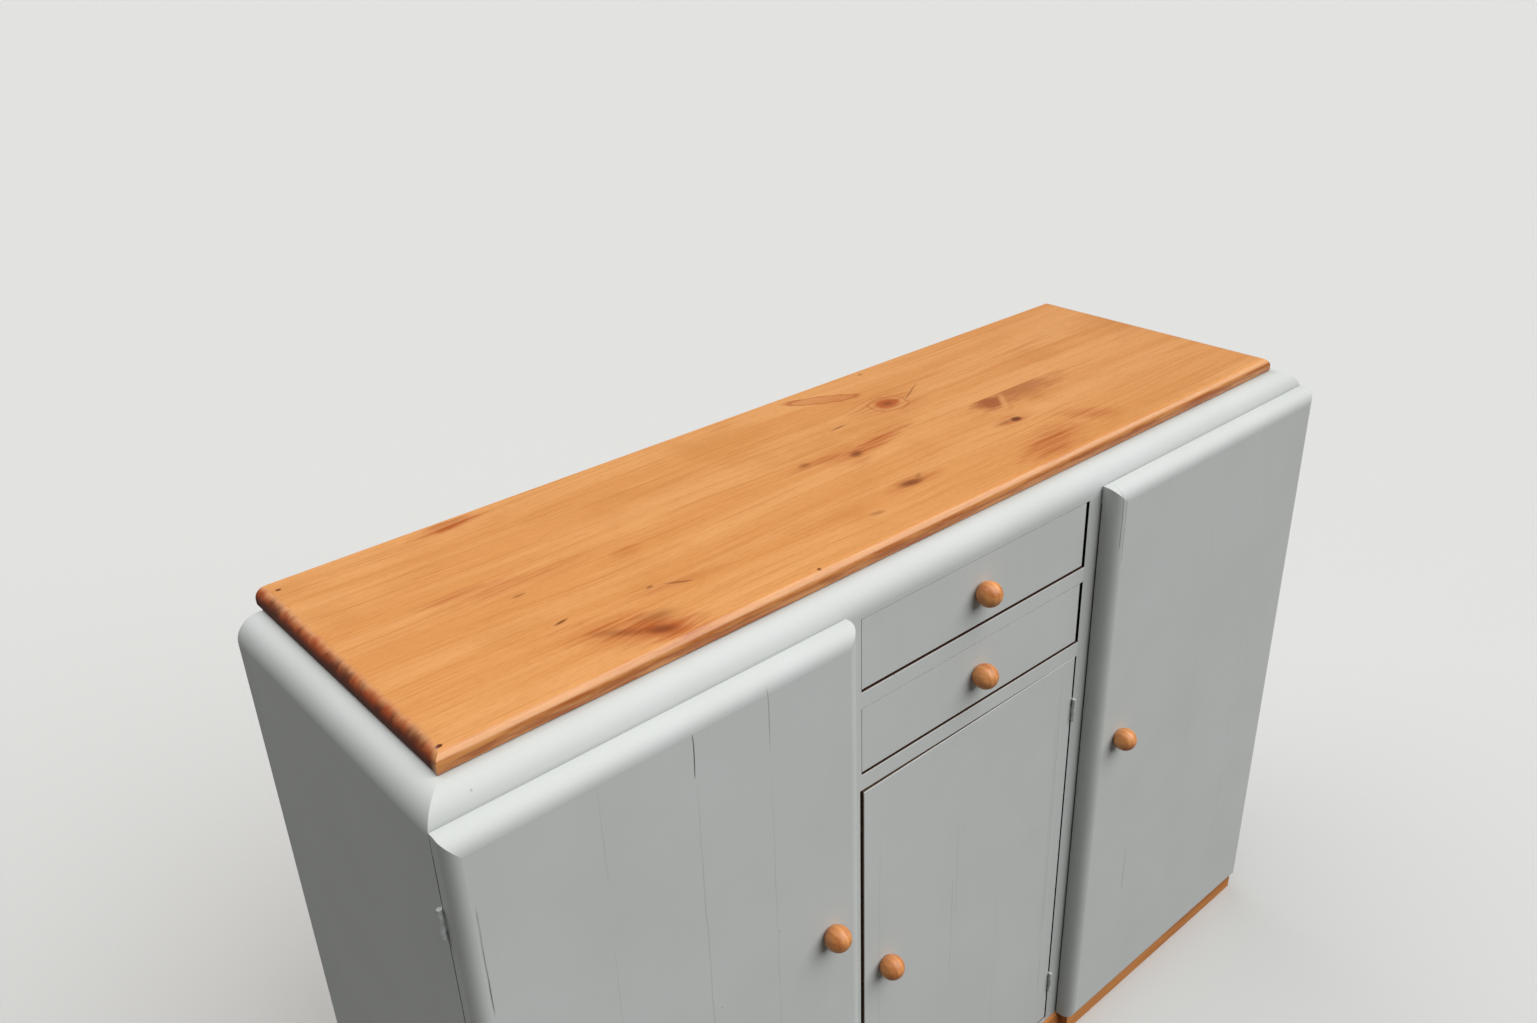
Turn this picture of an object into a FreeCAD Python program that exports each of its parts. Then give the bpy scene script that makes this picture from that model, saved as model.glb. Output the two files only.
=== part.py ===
import FreeCAD, Part
import math
import os

os.makedirs("parts", exist_ok=True)
Vector = FreeCAD.Vector

# A painted sideboard with a waxed pine top: a drawer bay with a small cupboard in the middle
# and a tall cupboard with a round-edged overlay door on each side, on a break-front plinth.
# All lengths are in millimetres. The working frame has x to the right, y = 0 on the front
# face of the carcass with y running to the back, and z = 0 on the underside of the carcass.
# The finished pieces are moved so that the origin is on the floor, under the middle.

# Carcass
carcass_width = 1400.0
carcass_depth = 415.0
side_thickness = 20.0
partition_thickness = 20.0
bottom_thickness = 18.0
top_panel_thickness = 18.0
back_thickness = 6.0
back_rebate_width = 10.0
moulding_width = 60.0
moulding_height = 32.5
moulding_round_radius = 27.0

# Face frame of the middle bay
centre_opening_width = 396.5
centre_opening_height = 660.5
lower_drawer_opening_height = 90.0
upper_drawer_opening_height = 93.0
rail_height = 21.5
rail_depth = 45.0
sill_height = 7.0
face_frame_depth = 20.0
stile_shown_width = 24.0
stile_covered_width = 20.0
stile_relief = 2.5

# Pine top
pine_top_thickness = 20.0
pine_top_side_margin = 31.0
pine_top_front_margin = 33.5
pine_top_back_overhang = 12.5
pine_top_round_radius = 12.0
pine_top_lower_round_radius = 3.0
pine_top_joint_shares = (0.493, 0.795)

# Outer doors, which lie on the front of the carcass
door_seam_gap = 1.0
door_thickness = 25.0
door_top_round_radius = 19.0
door_outer_round_radius = 14.0
door_inner_round_radius = 17.0
door_bottom_round_radius = 7.0
door_top_setdown = 20.5
door_bottom_clearance = 1.5
door_strip_width = 20.0
left_board_joint_shares = (0.27, 0.53, 0.75)
right_board_joint_shares = (0.27, 0.5, 0.76)

# Centre door, which lies flush in its opening
centre_door_thickness = 19.0
centre_door_left_gap = 3.8
centre_door_right_gap = 2.6
centre_door_bottom_gap = 2.0
centre_door_top_gap_at_left = 5.2
centre_door_top_gap_at_right = 0.5
centre_door_strip_width = 25.0
centre_board_joint_shares = (0.34, 0.68)

# Drawers
drawer_front_thickness = 19.0
drawer_side_thickness = 11.0
drawer_back_thickness = 12.0
drawer_bottom_thickness = 5.0
drawer_bottom_rise = 8.0
drawer_groove_depth = 5.0
drawer_lap_depth = 10.0
drawer_length = 385.0
drawer_gap_left = 0.8
drawer_gap_right = 6.2
drawer_gap_top = 0.7
drawer_gap_bottom = 4.2
drawer_running_gap = 0.3
drawer_side_setdown = 3.0
drawer_back_setdown = 6.0
runner_width = 20.0
stop_length = 25.0
stop_width = 30.0
stop_height = 5.0
stop_gap = 0.3
stop_place_share = 0.25

# Shelves and the cleats that carry them
shelf_thickness = 16.0
shelf_front_setback = 26.0
shelf_rear_gap = 2.0
shelf_side_gap = 1.0
outer_shelf_height_share = 0.52
centre_shelf_height_share = 0.5
cleat_height = 20.0
cleat_width = 18.0
cleat_front_setback = 45.0
cleat_rear_gap = 12.0

# Plinth
plinth_height = 32.0
plinth_inset = 7.5
plinth_centre_step = 4.0
plinth_front_depth = 60.0
plinth_rail_width = 40.0
plinth_round_radius = 3.0
corner_block_leg = 38.0
corner_block_lift = 4.0

# Knobs: turned balls, cut flat where they meet the wood
knob_radius = 15.75
knob_projection = 28.0
knob_inset_outer = 52.0
knob_inset_centre = 36.5
left_knob_height = 523.0
right_knob_height = 514.0
centre_knob_height = 376.0
knob_screw_radius = 2.0
knob_screw_head_radius = 4.2
knob_screw_head_height = 2.4
knob_screw_grip = 16.0

# Butt hinges
hinge_length = 35.0
knuckle_radius = 2.6
knuckle_gap = 0.3
moving_knuckle_share = 1 / 3
hinge_pin_radius = 1.3
hinge_pin_running_gap = 0.06
hinge_axis_standoff = 3.2
leaf_thickness = 1.4
leaf_gap = 0.2
leaf_width = 14.5
outer_hinge_inset = 98.5
centre_hinge_top_inset = 79.0
centre_hinge_bottom_inset = 76.0

# Small screws of the hinges
hinge_screw_head_radius = 2.6
hinge_screw_radius = 1.3
hinge_screw_length = 12.0
hinge_screw_tip = 2.5
slot_width = 0.7
slot_depth = 0.6

# Screws that hold the pine top from below
top_screw_head_radius = 4.2
top_screw_head_height = 2.4
top_screw_radius = 2.2
top_screw_grip = 15.0
top_screw_tip = 4.0
top_screw_bay_shares = (0.2, 0.8)
top_screw_row_inset = 35.0

# Catches
catch_block_width = 14.0
catch_block_depth = 14.0
catch_block_height = 46.0
catch_height_share = 0.62
keeper_thickness = 0.6
keeper_width = 12.0
keeper_height = 40.0
catch_ball_radius = 4.5
catch_ball_gap = 0.6
catch_body_radius = 5.5
catch_body_length = 12.0
strike_plate_thickness = 0.8
strike_plate_width = 12.0
strike_plate_height = 30.0
ball_catch_top_inset = 58.0

# Softened front edges, sanded before painting
rail_edge_radius = 1.6
centre_door_edge_radius = 1.2

# How far a cutting shape runs past the wood
overrun = 5.0

# Places that follow from the sizes
half_width = carcass_width / 2
half_opening = centre_opening_width / 2
stile_outer = half_opening + stile_shown_width + stile_covered_width
partition_outer = half_opening + partition_thickness
side_inner = half_width - side_thickness
moulding_inner = half_width - moulding_width
back_front = carcass_depth - back_thickness
centre_opening_top = sill_height + centre_opening_height
lower_drawer_floor = centre_opening_top + rail_height
lower_drawer_ceiling = lower_drawer_floor + lower_drawer_opening_height
upper_drawer_floor = lower_drawer_ceiling + rail_height
upper_drawer_ceiling = upper_drawer_floor + upper_drawer_opening_height
frame_top = upper_drawer_ceiling
carcass_height = frame_top + moulding_height
panel_underside = carcass_height - top_panel_thickness
door_inner_edge = half_opening + stile_shown_width
door_rear = -door_seam_gap
door_front = -(door_seam_gap + door_thickness)
door_bottom = door_bottom_clearance
door_top = carcass_height - door_top_setdown
plinth_door_front = door_front + plinth_inset
plinth_outer = half_width - plinth_inset
plinth_rear = carcass_depth - plinth_inset
plinth_front_rear = plinth_door_front + plinth_front_depth
front_reach = knob_projection - door_front
rear_reach = carcass_depth + pine_top_back_overhang
face_y = (front_reach - rear_reach) / 2
diagonal_share = math.sqrt(0.5)


def box_between(left, right, front, rear, bottom, top):
    """A board given by its six faces."""
    return Part.makeBox(right - left, rear - front, top - bottom, Vector(left, front, bottom))


def prism(points, bottom, top):
    """A block with the plan outline through the given (x, y) points."""
    corners = [Vector(x, y, bottom) for x, y in points]
    outline = Part.makePolygon(corners + corners[:1])
    return Part.Face(outline).extrude(Vector(0, 0, top - bottom))


def mirrored(shape):
    """The same piece on the other side of the middle."""
    return shape.mirror(Vector(0, 0, 0), Vector(1, 0, 0))


def without(piece, cutters):
    """The piece with every cutter taken away, as one solid."""
    for cutter in cutters:
        piece = piece.cut(cutter)
    return piece.Solids[0]


def softened(piece, radius):
    """The piece with every edge of its front face rounded."""
    front = piece.BoundBox.YMin
    return piece.makeFillet(radius, [edge for edge in piece.Edges if edge.BoundBox.YMax < front + radius])


def softened_on_top(piece, radius):
    """The piece with the upper edge of its front face rounded."""
    front = piece.BoundBox.YMin
    top = piece.BoundBox.ZMax
    return piece.makeFillet(radius, [edge for edge in piece.Edges if edge.BoundBox.YMax < front + radius
                                     and edge.BoundBox.ZMin > top - radius])


def rounded_face(place, low, high, flat_side, round_side, low_radius, high_radius):
    """Section of a slab whose round side has each corner rounded by its own radius.

    place turns (along, out) into a point, so one outline serves every direction.
    """
    inward = math.copysign(1, flat_side - round_side)
    bend_share = 1 - diagonal_share
    low_start = place(low, round_side + inward * low_radius)
    low_middle = place(low + low_radius * bend_share, round_side + inward * low_radius * bend_share)
    low_end = place(low + low_radius, round_side)
    high_start = place(high - high_radius, round_side)
    high_middle = place(high - high_radius * bend_share, round_side + inward * high_radius * bend_share)
    high_end = place(high, round_side + inward * high_radius)
    edges = [
        Part.LineSegment(place(high, flat_side), place(low, flat_side)).toShape(),
        Part.LineSegment(place(low, flat_side), low_start).toShape(),
        Part.Arc(low_start, low_middle, low_end).toShape(),
        Part.LineSegment(low_end, high_start).toShape(),
        Part.Arc(high_start, high_middle, high_end).toShape(),
        Part.LineSegment(high_end, place(high, flat_side)).toShape(),
    ]
    return Part.Face(Part.Wire(edges))


def turned(points, start, axis):
    """A piece turned round a line through start, from its (radius, along) half section."""
    corners = [Vector(radius, 0, along) for radius, along in points]
    section = Part.Face(Part.makePolygon(corners + corners[:1]))
    piece = section.revolve(Vector(0, 0, 0), Vector(0, 0, 1), 360)
    return aimed(piece, start, axis)


def aimed(piece, start, axis):
    """Move a piece made along z from the origin to start, pointing along axis."""
    turn = FreeCAD.Rotation(Vector(0, 0, 1), axis)
    piece.Placement = FreeCAD.Placement(start, turn).multiply(piece.Placement)
    return piece


def pan_screw(start, axis, head_radius, head_height, shank_radius, grip, tip):
    """A screw whose head lies behind start and whose shank runs along axis from start."""
    points = [
        (0, -head_height),
        (head_radius * diagonal_share, -head_height),
        (head_radius, -head_height / 2),
        (head_radius, 0),
        (shank_radius, 0),
        (shank_radius, grip - tip),
        (0, grip),
    ]
    screw = turned(points, start, axis)
    slot = box_between(-head_radius, head_radius, -slot_width / 2, slot_width / 2,
                       -head_height - overrun, slot_depth - head_height)
    return screw.cut(aimed(slot, start, axis)).Solids[0]


def countersunk_screw(start, axis):
    """A hinge screw with the face of its head at start."""
    points = [
        (0, 0),
        (hinge_screw_head_radius, 0),
        (hinge_screw_radius, leaf_thickness),
        (hinge_screw_radius, hinge_screw_length - hinge_screw_tip),
        (0, hinge_screw_length),
    ]
    return turned(points, start, axis)


def slotted(screw, start, axis):
    """The same screw with its driver slot."""
    slot = box_between(-hinge_screw_head_radius, hinge_screw_head_radius,
                       -slot_width / 2, slot_width / 2, -overrun, slot_depth)
    return screw.cut(aimed(slot, start, axis)).Solids[0]


# Butt hinges

def hinge_leaf(side, knuckles):
    """One leaf in the hinge's own frame: pin along z, leaf along x, lying on the side of y given.

    knuckles lists the (bottom, top) stretches of the barrel that belong to this leaf.
    """
    inner = side * leaf_gap / 2
    outer = side * (leaf_gap / 2 + leaf_thickness)
    low, high = sorted((inner, outer))
    leaf = box_between(hinge_axis_standoff, hinge_axis_standoff + leaf_width, low, high,
                       -hinge_length / 2, hinge_length / 2)
    for bottom, top in knuckles:
        tongue = box_between(0, hinge_axis_standoff, low, high, bottom, top)
        barrel = Part.makeCylinder(knuckle_radius, top - bottom, Vector(0, 0, bottom))
        leaf = leaf.fuse([tongue, barrel])
    return leaf.removeSplitter()


def hinge(pin_point, leaf_angle, fixed_side):
    """A whole hinge: fixed leaf, moving leaf, pin and the screws of each leaf.

    pin_point is the middle of the pin, leaf_angle turns the leaves about it, and fixed_side
    is the sign of the side on which the fixed leaf lies before that turn.
    """
    half = hinge_length / 2
    middle = moving_knuckle_share * half
    fixed_knuckles = [(-half, -middle - knuckle_gap), (middle + knuckle_gap, half)]
    moving_knuckles = [(-middle, middle)]
    pin = Part.makeCylinder(hinge_pin_radius, hinge_length, Vector(0, 0, -half))
    bore = Part.makeCylinder(hinge_pin_radius + hinge_pin_running_gap, hinge_length, Vector(0, 0, -half))
    fixed_leaf = hinge_leaf(fixed_side, fixed_knuckles).cut(pin)
    moving_leaf = hinge_leaf(-fixed_side, moving_knuckles).cut(bore)
    screw_x = hinge_axis_standoff + leaf_width / 2
    leaves = {}
    for name, leaf, side in (("fixed", fixed_leaf, fixed_side), ("moving", moving_leaf, -fixed_side)):
        axis = Vector(0, side, 0)
        starts = [Vector(screw_x, side * leaf_gap / 2, level * hinge_length / 4) for level in (-1, 1)]
        plain = [countersunk_screw(start, axis) for start in starts]
        leaves[name] = without(leaf, plain)
        leaves[name + "_holes"] = plain
        leaves[name + "_screws"] = [slotted(screw, start, axis) for screw, start in zip(plain, starts)]
    leaves["pin"] = pin
    placement = FreeCAD.Placement(pin_point, FreeCAD.Rotation(Vector(0, 0, 1), leaf_angle))

    def placed(shape):
        shape = shape.copy()
        shape.Placement = placement.multiply(shape.Placement)
        return shape

    return {key: [placed(shape) for shape in value] if isinstance(value, list) else placed(value)
            for key, value in leaves.items()}


outer_hinge_x = half_width + hinge_axis_standoff
outer_hinge_y = door_rear / 2
outer_hinge_heights = (door_bottom + outer_hinge_inset, door_top - outer_hinge_inset)
centre_door_right = half_opening - centre_door_right_gap
centre_door_left = centre_door_left_gap - half_opening
centre_door_bottom = sill_height + centre_door_bottom_gap
centre_door_top = centre_opening_top - centre_door_top_gap_at_left
centre_hinge_x = half_opening - centre_door_right_gap / 2
centre_hinge_y = -hinge_axis_standoff
centre_hinge_heights = (centre_door_bottom + centre_hinge_bottom_inset,
                        centre_door_top - centre_hinge_top_inset)
ball_catch_level = centre_door_top - ball_catch_top_inset

left_hinges = [hinge(Vector(-outer_hinge_x, outer_hinge_y, height), 0, 1)
               for height in outer_hinge_heights]
right_hinges = [hinge(Vector(outer_hinge_x, outer_hinge_y, height), 180, -1)
                for height in outer_hinge_heights]
centre_hinges = [hinge(Vector(centre_hinge_x, centre_hinge_y, height), 90, -1)
                 for height in centre_hinge_heights]
all_hinges = left_hinges + right_hinges + centre_hinges


def fixed_cutters(hinges):
    """What the carcass loses to the fixed leaves and their screws."""
    return [item["fixed"] for item in hinges] + [hole for item in hinges for hole in item["fixed_holes"]]


def moving_cutters(hinges):
    """What a door loses to its own leaves and their screws."""
    return [item["moving"] for item in hinges] + [hole for item in hinges for hole in item["moving_holes"]]


# Knobs

def knob(x, y, z):
    """A turned ball on the surface at y, standing out towards the front."""
    centre = knob_projection - knob_radius
    foot = math.sqrt(knob_radius ** 2 - centre ** 2)
    edges = [
        Part.LineSegment(Vector(0, 0, 0), Vector(foot, 0, 0)).toShape(),
        Part.Arc(Vector(foot, 0, 0), Vector(knob_radius, 0, centre), Vector(0, 0, knob_projection)).toShape(),
        Part.LineSegment(Vector(0, 0, knob_projection), Vector(0, 0, 0)).toShape(),
    ]
    ball = Part.Face(Part.Wire(edges)).revolve(Vector(0, 0, 0), Vector(0, 0, 1), 360)
    return aimed(ball, Vector(x, y, z), Vector(0, -1, 0))


def knob_and_screw(x, z, front, rear):
    """The knob on the front face of a board, and the screw that holds it from the rear face."""
    grip = rear - front + knob_screw_grip
    screw = pan_screw(Vector(x, rear, z), Vector(0, -1, 0), knob_screw_head_radius,
                      knob_screw_head_height, knob_screw_radius, grip, knob_screw_radius)
    return without(knob(x, front, z), [screw]), screw


# Carcass

def rounded_top_slab():
    """The carcass top's outer shape, rounded on the front and both sides.

    It is where two rounded bars meet, so that the corners show a mitre line.
    """
    depth_past_back = carcass_depth + moulding_round_radius
    across = rounded_face(lambda along, out: Vector(along, 0, out), -half_width, half_width,
                          frame_top, carcass_height, moulding_round_radius, moulding_round_radius)
    back_and_front = rounded_face(lambda along, out: Vector(-half_width, along, out), 0, depth_past_back,
                                  frame_top, carcass_height, moulding_round_radius, moulding_round_radius)
    slab = across.extrude(Vector(0, carcass_depth, 0))
    return slab.common(back_and_front.extrude(Vector(carcass_width, 0, 0)))


back_panel = box_between(back_rebate_width - half_width, half_width - back_rebate_width,
                         back_front, carcass_depth, 0, panel_underside)


def top_mouldings():
    """The front and left mouldings, mitred at the corner."""
    slab = rounded_top_slab()
    front_outline = [(-half_width, 0), (half_width, 0), (moulding_inner, moulding_width),
                     (-moulding_inner, moulding_width)]
    left_outline = [(-half_width, 0), (-moulding_inner, moulding_width), (-moulding_inner, carcass_depth),
                    (-half_width, carcass_depth)]
    front = slab.common(prism(front_outline, frame_top, carcass_height)).Solids[0]
    left = slab.common(prism(left_outline, frame_top, carcass_height)).cut(back_panel).Solids[0]
    return front, left


def top_screws():
    """Screws through the top panel into the pine top, reached from inside the tall cupboards."""
    bay = side_inner - partition_outer
    rows = (moulding_width + top_screw_row_inset, back_front - top_screw_row_inset)
    places = [partition_outer + share * bay for share in top_screw_bay_shares]
    grip = top_panel_thickness + top_screw_grip
    return [pan_screw(Vector(side * x, y, panel_underside), Vector(0, 0, 1), top_screw_head_radius,
                      top_screw_head_height, top_screw_radius, grip, top_screw_tip)
            for side in (-1, 1) for x in places for y in rows]


def pine_top_boards(cutters):
    """The pine top, nosed on the front and both ends, square at the back, glued from boards."""
    side = half_width - pine_top_side_margin
    rear = carcass_depth + pine_top_back_overhang
    top = carcass_height + pine_top_thickness
    front_nose = rounded_face(lambda along, out: Vector(-side, out, along), carcass_height, top, rear,
                              pine_top_front_margin, pine_top_lower_round_radius, pine_top_round_radius)
    end_nose = rounded_face(lambda along, out: Vector(out, 0, along), carcass_height, top, side, -side,
                            pine_top_lower_round_radius, pine_top_round_radius)
    ends = end_nose.extrude(Vector(0, rear, 0))
    slab = front_nose.extrude(Vector(side + side, 0, 0)).common(ends).common(mirrored(ends))
    depth = rear - pine_top_front_margin
    joints = [pine_top_front_margin + share * depth for share in pine_top_joint_shares]
    fronts = [pine_top_front_margin] + joints
    rears = joints + [rear]
    boards = [slab.common(box_between(-side, side, front, end, carcass_height, top)).Solids[0]
              for front, end in zip(fronts, rears)]
    return [without(board, cutters) for board in boards]


def left_side_panel():
    """The left carcass side, rebated for the back and let in for the fixed hinge leaves."""
    panel = box_between(-half_width, -side_inner, 0, carcass_depth, 0, frame_top)
    return without(panel, [back_panel] + fixed_cutters(left_hinges))


def left_partition(front_moulding):
    """The board between the left cupboard and the middle bay."""
    panel = box_between(-partition_outer, -half_opening, face_frame_depth, back_front,
                        bottom_thickness, panel_underside)
    return without(panel, [front_moulding])


def bottom_board():
    """The bottom, cut out at the front for the stiles and the sill."""
    board = box_between(-side_inner, side_inner, 0, back_front, 0, bottom_thickness)
    notch = box_between(-stile_outer, stile_outer, -overrun, face_frame_depth, -overrun,
                        bottom_thickness + overrun)
    return without(board, [notch])


def left_stile():
    """Face frame upright, shown beside the opening and covered beyond it by the door."""
    return box_between(-stile_outer, -half_opening, 0, face_frame_depth, 0, frame_top)


def closing_relief():
    """What is planed off the left stile's inner edge so that the centre door closes."""
    return box_between(-half_opening - stile_relief, overrun - half_opening, -overrun,
                       face_frame_depth + overrun, sill_height, centre_opening_top)


def drawer_rail(floor):
    """Front rail whose top is level with the drawer opening's floor."""
    rail = box_between(-half_opening, half_opening, 0, rail_depth, floor - rail_height, floor)
    return softened_on_top(rail, rail_edge_radius)


def drawer_carriers():
    """The runners behind both rails, and the kickers under the top panel."""
    levels = [(lower_drawer_floor - rail_height, lower_drawer_floor, rail_depth),
              (upper_drawer_floor - rail_height, upper_drawer_floor, rail_depth),
              (upper_drawer_ceiling, panel_underside, moulding_width)]
    left = [box_between(-half_opening, runner_width - half_opening, front, back_front, bottom, top)
            for bottom, top, front in levels]
    return left + [mirrored(piece) for piece in left]


def drawer_stops():
    """Small blocks on the rails that meet the back of each drawer front."""
    front = drawer_front_thickness + stop_gap
    reach = stop_place_share * centre_opening_width
    blocks = []
    for floor in (lower_drawer_floor, upper_drawer_floor):
        for x in (-reach, reach):
            blocks.append(box_between(x - stop_width / 2, x + stop_width / 2, front, front + stop_length,
                                      floor, floor + stop_height))
    return blocks


# Shelves

outer_shelf_level = bottom_thickness + outer_shelf_height_share * (frame_top - bottom_thickness)
centre_shelf_level = bottom_thickness + centre_shelf_height_share * (centre_opening_top - bottom_thickness)


def shelf(left, right, level):
    """A loose shelf between two uprights."""
    return box_between(left + shelf_side_gap, right - shelf_side_gap, shelf_front_setback,
                       back_front - shelf_rear_gap, level, level + shelf_thickness)


def cleats(left, right, level):
    """The two strips fixed to the uprights below a shelf."""
    rear = back_front - cleat_rear_gap
    bottom = level - cleat_height
    return [box_between(left, left + cleat_width, cleat_front_setback, rear, bottom, level),
            box_between(right - cleat_width, right, cleat_front_setback, rear, bottom, level)]


# Plinth

def plinth_front():
    """The front board, set back between the doors, with a softened top edge."""
    step_x = door_inner_edge + plinth_inset
    centre_front = -plinth_centre_step
    outline = [(-plinth_outer, plinth_door_front), (-step_x, plinth_door_front), (-step_x, centre_front),
               (step_x, centre_front), (step_x, plinth_door_front), (plinth_outer, plinth_door_front),
               (plinth_outer, plinth_front_rear), (-plinth_outer, plinth_front_rear)]
    board = prism(outline, -plinth_height, 0)
    leading = [edge for edge in board.Edges
               if edge.BoundBox.ZMin > -plinth_round_radius and edge.BoundBox.YMax < 0]
    return board.makeFillet(plinth_round_radius, leading).Solids[0]


def plinth_frame():
    """Side, back and cross rails behind the front board."""
    inner = plinth_outer - plinth_rail_width
    back_start = plinth_rear - plinth_rail_width
    middle = (half_opening + partition_outer) / 2
    left = box_between(-plinth_outer, -inner, plinth_front_rear, plinth_rear, -plinth_height, 0)
    cross = box_between(-middle - plinth_rail_width / 2, plinth_rail_width / 2 - middle,
                        plinth_front_rear, back_start, -plinth_height, 0)
    back = box_between(-inner, inner, back_start, plinth_rear, -plinth_height, 0)
    return [left, mirrored(left), back, cross, mirrored(cross)]


def plinth_corner_blocks():
    """Glued three-cornered blocks inside the plinth's four corners."""
    x = plinth_rail_width - plinth_outer
    back = plinth_rear - plinth_rail_width
    front = plinth_front_rear
    outlines = [[(x, front), (x + corner_block_leg, front), (x, front + corner_block_leg)],
                [(x, back), (x + corner_block_leg, back), (x, back - corner_block_leg)]]
    left = [prism(outline, corner_block_lift - plinth_height, 0) for outline in outlines]
    return left + [mirrored(block) for block in left]


# Outer doors

def door_blank():
    """An outer door's outer shape, all four front edges rounded, each by hand, as the left door."""
    plan = rounded_face(lambda along, out: Vector(along, out, door_bottom), -half_width, -door_inner_edge,
                        door_rear, door_front, door_outer_round_radius, door_inner_round_radius)
    upright = rounded_face(lambda along, out: Vector(-half_width, out, along), door_bottom, door_top,
                           door_rear, door_front, door_bottom_round_radius, door_top_round_radius)
    slab = plan.extrude(Vector(0, 0, door_top - door_bottom))
    return slab.common(upright.extrude(Vector(carcass_width, 0, 0)))


def outer_door(hinges, knob_height, joint_shares):
    """The left door: its boards, its edge strips, its knob and fittings."""
    blank = door_blank()
    left = door_strip_width - half_width
    right = -door_inner_edge - door_strip_width
    bottom = door_bottom + door_strip_width
    top = door_top - door_strip_width
    knob_piece, knob_screw = knob_and_screw(-door_inner_edge - knob_inset_outer, knob_height,
                                            door_front, door_rear)
    cutters = moving_cutters(hinges) + [knob_screw]
    joints = [left + share * (right - left) for share in joint_shares]
    boards = [without(blank.common(box_between(start, end, door_front, door_rear, bottom, top)), cutters)
              for start, end in zip([left] + joints, joints + [right])]
    uprights = [box_between(-half_width, left, door_front, door_rear, door_bottom, door_top),
                box_between(right, -door_inner_edge, door_front, door_rear, door_bottom, door_top)]
    ends = [box_between(left, right, door_front, door_rear, door_bottom, bottom),
            box_between(left, right, door_front, door_rear, top, door_top)]
    strips = [without(blank.common(piece), cutters) for piece in uprights + ends]
    middle = catch_level()
    keeper = box_between(-stile_outer - keeper_width, -stile_outer, door_rear, door_rear + keeper_thickness,
                         middle - keeper_height / 2, middle + keeper_height / 2)
    screws = [screw for item in hinges for screw in item["moving_screws"]] + [knob_screw]
    return {"boards": boards, "edge_strips": strips, "knob": [knob_piece], "keeper_plate": [keeper],
            "hinge_leaves": [item["moving"] for item in hinges], "screws": screws}


def catch_level():
    """Height of the magnetic catches."""
    return bottom_thickness + catch_height_share * (frame_top - bottom_thickness)


def left_catch_block():
    """Magnet block on the outer edge of the left stile."""
    middle = catch_level()
    return box_between(-stile_outer - catch_block_width, -stile_outer, 0, catch_block_depth,
                       middle - catch_block_height / 2, middle + catch_block_height / 2)


# Centre door

def strike_plate():
    """Plate for the ball catch, let in flush with the left stile's planed edge."""
    middle_y = centre_door_thickness / 2
    edge = -half_opening - stile_relief
    return box_between(edge - strike_plate_thickness, edge,
                       middle_y - strike_plate_width / 2, middle_y + strike_plate_width / 2,
                       ball_catch_level - strike_plate_height / 2,
                       ball_catch_level + strike_plate_height / 2)


def ball_catch():
    """A barrel in the door's left edge with a ball that stands out towards the plate."""
    reach = centre_door_left_gap + stile_relief - catch_ball_gap
    ball_middle = catch_ball_radius - reach
    mouth_radius = math.sqrt(catch_ball_radius ** 2 - ball_middle ** 2)
    tip = Vector(0, 0, -reach)
    mouth = Vector(mouth_radius, 0, 0)
    rim = Vector(catch_body_radius, 0, 0)
    heel = Vector(catch_body_radius, 0, catch_body_length)
    end = Vector(0, 0, catch_body_length)
    edges = [
        Part.Arc(tip, Vector(catch_ball_radius, 0, ball_middle), mouth).toShape(),
        Part.LineSegment(mouth, rim).toShape(),
        Part.LineSegment(rim, heel).toShape(),
        Part.LineSegment(heel, end).toShape(),
        Part.LineSegment(end, tip).toShape(),
    ]
    section = Part.Face(Part.Wire(edges))
    catch = section.revolve(Vector(0, 0, 0), Vector(0, 0, 1), 360)
    middle_y = centre_door_thickness / 2
    return aimed(catch, Vector(centre_door_left, middle_y, ball_catch_level), Vector(1, 0, 0))


def centre_door():
    """The flush door: boards between edge strips, its top edge planed to a slight slope."""
    top_left = centre_opening_top - centre_door_top_gap_at_left
    top_right = centre_opening_top - centre_door_top_gap_at_right
    bottom = centre_door_bottom
    corners = [Vector(centre_door_left, 0, bottom), Vector(centre_door_right, 0, bottom),
               Vector(centre_door_right, 0, top_right), Vector(centre_door_left, 0, top_left)]
    outline = Part.Face(Part.makePolygon(corners + corners[:1]))
    blank = softened(outline.extrude(Vector(0, centre_door_thickness, 0)), centre_door_edge_radius)
    left = centre_door_left + centre_door_strip_width
    right = centre_door_right - centre_door_strip_width
    ceiling = centre_opening_top
    knob_piece, knob_screw = knob_and_screw(centre_door_left + knob_inset_centre, centre_knob_height,
                                            0, centre_door_thickness)
    catch = ball_catch()
    cutters = moving_cutters(centre_hinges) + [knob_screw, catch]
    joints = [left + share * (right - left) for share in centre_board_joint_shares]
    boards = [without(blank.common(box_between(start, end, 0, centre_door_thickness, bottom, ceiling)),
                      cutters)
              for start, end in zip([left] + joints, joints + [right])]
    uprights = [box_between(centre_door_left, left, 0, centre_door_thickness, bottom, ceiling),
                box_between(right, centre_door_right, 0, centre_door_thickness, bottom, ceiling)]
    strips = [without(blank.common(piece), cutters) for piece in uprights]
    screws = [screw for item in centre_hinges for screw in item["moving_screws"]] + [knob_screw]
    return {"boards": boards, "edge_strips": strips, "knob": [knob_piece], "ball_catch": [catch],
            "hinge_leaves": [item["moving"] for item in centre_hinges], "screws": screws}


# Drawers

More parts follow.
